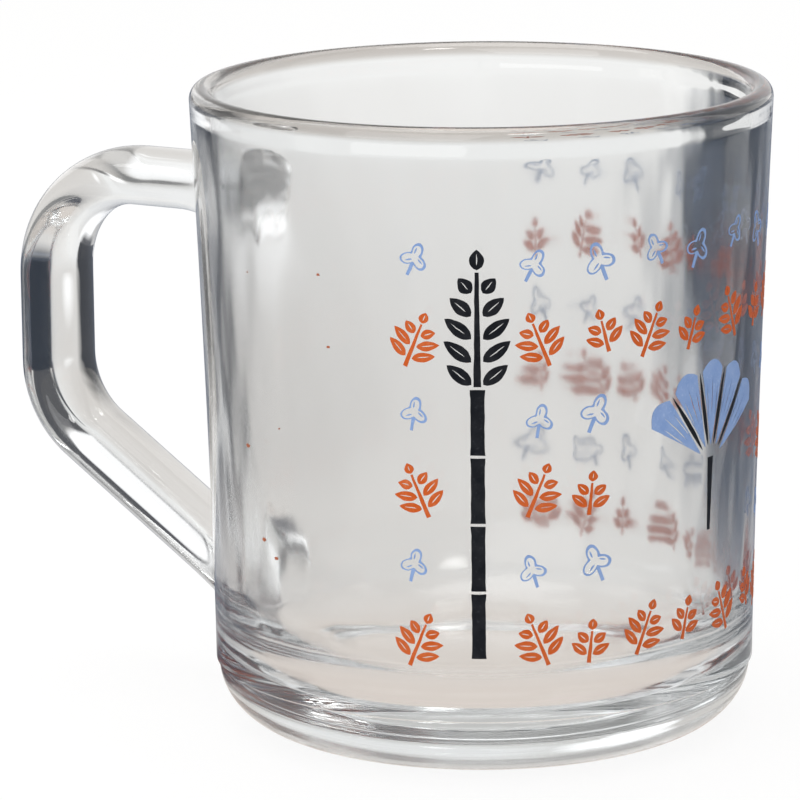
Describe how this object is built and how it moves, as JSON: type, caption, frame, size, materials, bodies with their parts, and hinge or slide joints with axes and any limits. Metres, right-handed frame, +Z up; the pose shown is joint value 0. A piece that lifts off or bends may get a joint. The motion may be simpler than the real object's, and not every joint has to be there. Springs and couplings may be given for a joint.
{
  "type": "glass mug",
  "caption": "Clear pressed-glass tea mug with a flared round bowl, heavy base, angular loop handle and an enamel print of leaves, clovers, a reed and a fan leaf.",
  "frame": {"origin": "middle of the footprint of bowl and handle, on the surface that the mug stands on", "axes": "+Z up along the bowl's axis, -X towards the handle, Y across the handle"},
  "size_m": [0.1156, 0.0806, 0.09],
  "materials": {
    "clear_glass": "clear pressed soda-lime glass, fire-polished",
    "orange_enamel": "fired screen-printed enamel, satin",
    "blue_enamel": "fired screen-printed enamel, satin",
    "black_enamel": "fired screen-printed enamel, satin"
  },
  "bodies": {
    "root": {"bowl": "clear_glass", "clover_01": "blue_enamel", "clover_02": "blue_enamel", "clover_03": "blue_enamel", "clover_04": "blue_enamel", "clover_05": "blue_enamel", "clover_06": "blue_enamel", "clover_07": "blue_enamel", "clover_08": "blue_enamel", "clover_09": "blue_enamel", "clover_10": "blue_enamel", "clover_11": "blue_enamel", "clover_12": "blue_enamel", "clover_13": "blue_enamel", "clover_14": "blue_enamel", "clover_15": "blue_enamel", "clover_16": "blue_enamel", "clover_17": "blue_enamel", "fan_lobe_1": "blue_enamel", "fan_lobe_2": "blue_enamel", "fan_lobe_3": "blue_enamel", "fan_lobe_4": "blue_enamel", "fan_lobe_5": "blue_enamel", "fan_stalk": "black_enamel", "fan_vein_1": "black_enamel", "fan_vein_2": "black_enamel", "fan_vein_3": "black_enamel", "fan_vein_4": "black_enamel", "handle": "clear_glass", "leaf_01": "orange_enamel", "leaf_02": "orange_enamel", "leaf_03": "orange_enamel", "leaf_04": "orange_enamel", "leaf_05": "orange_enamel", "leaf_06": "orange_enamel", "leaf_07": "orange_enamel", "leaf_08": "orange_enamel", "leaf_09": "orange_enamel", "leaf_10": "orange_enamel", "leaf_11": "orange_enamel", "leaf_12": "orange_enamel", "leaf_13": "orange_enamel", "leaf_14": "orange_enamel", "leaf_15": "orange_enamel", "leaf_16": "orange_enamel", "leaf_17": "orange_enamel", "leaf_18": "orange_enamel", "leaf_19": "orange_enamel", "leaf_20": "orange_enamel", "leaf_21": "orange_enamel", "leaf_22": "orange_enamel", "reed": "black_enamel"}
  },
  "joints": []
}
